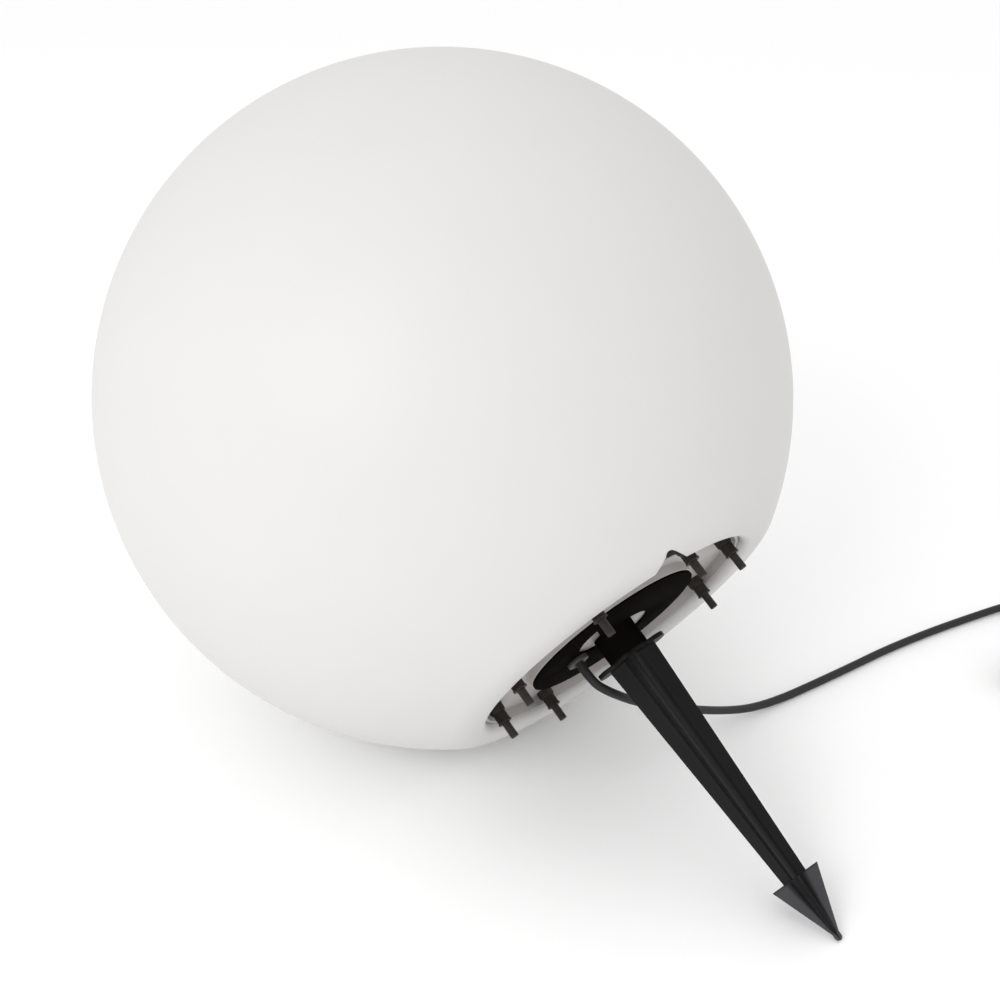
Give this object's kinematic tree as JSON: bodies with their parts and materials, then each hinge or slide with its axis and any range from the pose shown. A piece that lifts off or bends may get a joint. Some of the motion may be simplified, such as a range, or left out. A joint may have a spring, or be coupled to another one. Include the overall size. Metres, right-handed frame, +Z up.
{
  "type": "garden globe light",
  "caption": "White plastic garden globe light with a grey base, steel fixing studs, a black ground spike that locks by a quarter turn, and a rubber cable with plug.",
  "frame": {"origin": "on the surface that the lamp lies on, under the middle of the globe and spike", "axes": "+X horizontally from the globe towards the spike's tip, +Z up; the lamp's axis points along +X and down, so that the globe and the spike's tip both rest on z = 0"},
  "size_m": [0.6325, 0.7724, 0.4999],
  "materials": {
    "globe_plastic": "white polyethylene, rotationally moulded, soft sheen",
    "grey_plastic": "mid grey moulded plastic, semi-gloss",
    "black_plastic": "black moulded plastic, satin",
    "rubber": "black rubber, dull",
    "dark_steel": "blackened steel",
    "zinc_steel": "zinc plated steel",
    "gland_plastic": "light grey polyamide",
    "holder_plastic": "black thermoset",
    "holder_ceramic": "white porcelain, unglazed",
    "nickel_brass": "nickel plated brass",
    "cap_nickel": "nickel plated screw cap",
    "bulb_plastic": "white plastic",
    "bulb_opal": "opal diffuser",
    "terminal_plastic": "natural polyamide",
    "tie_plastic": "black strap"
  },
  "bodies": {
    "lamp": {"globe_shell": "globe_plastic", "base_pan": "grey_plastic", "carrier": "black_plastic", "carrier_locknut": "black_plastic", "notch_clip": "black_plastic", "base_gasket": "rubber", "gland_seal": "rubber", "cord_stretch": "rubber", "cord_coil": "rubber", "cord_tail": "rubber", "inner_cable": "rubber", "plug_relief": "rubber", "plug_body": "rubber", "studs": "dark_steel", "stud_washers": "dark_steel", "stud_nuts": "dark_steel", "stud_sleeves": "dark_steel", "backing_ring": "zinc_steel", "lamp_bracket": "zinc_steel", "holder_nipple": "zinc_steel", "nipple_nut": "zinc_steel", "gland_body": "gland_plastic", "gland_locknut": "gland_plastic", "holder_cap": "holder_plastic", "holder_barrel": "holder_plastic", "holder_insert": "holder_ceramic", "screw_shell": "nickel_brass", "centre_contact": "nickel_brass", "plug_pins": "nickel_brass", "bulb_cap": "cap_nickel", "bulb_housing": "bulb_plastic", "bulb_dome": "bulb_opal", "terminal_block": "terminal_plastic", "coil_tie": "tie_plastic"},
    "spike": {"spike": "black_plastic"}
  },
  "joints": [
    {"name": "spike_turn", "type": "hinge", "parent": "lamp", "child": "spike", "pos_m": [0.11809, 0, 0.12995], "axis": [0.838, 0, -0.5457], "range_deg": [0, 90]}
  ]
}
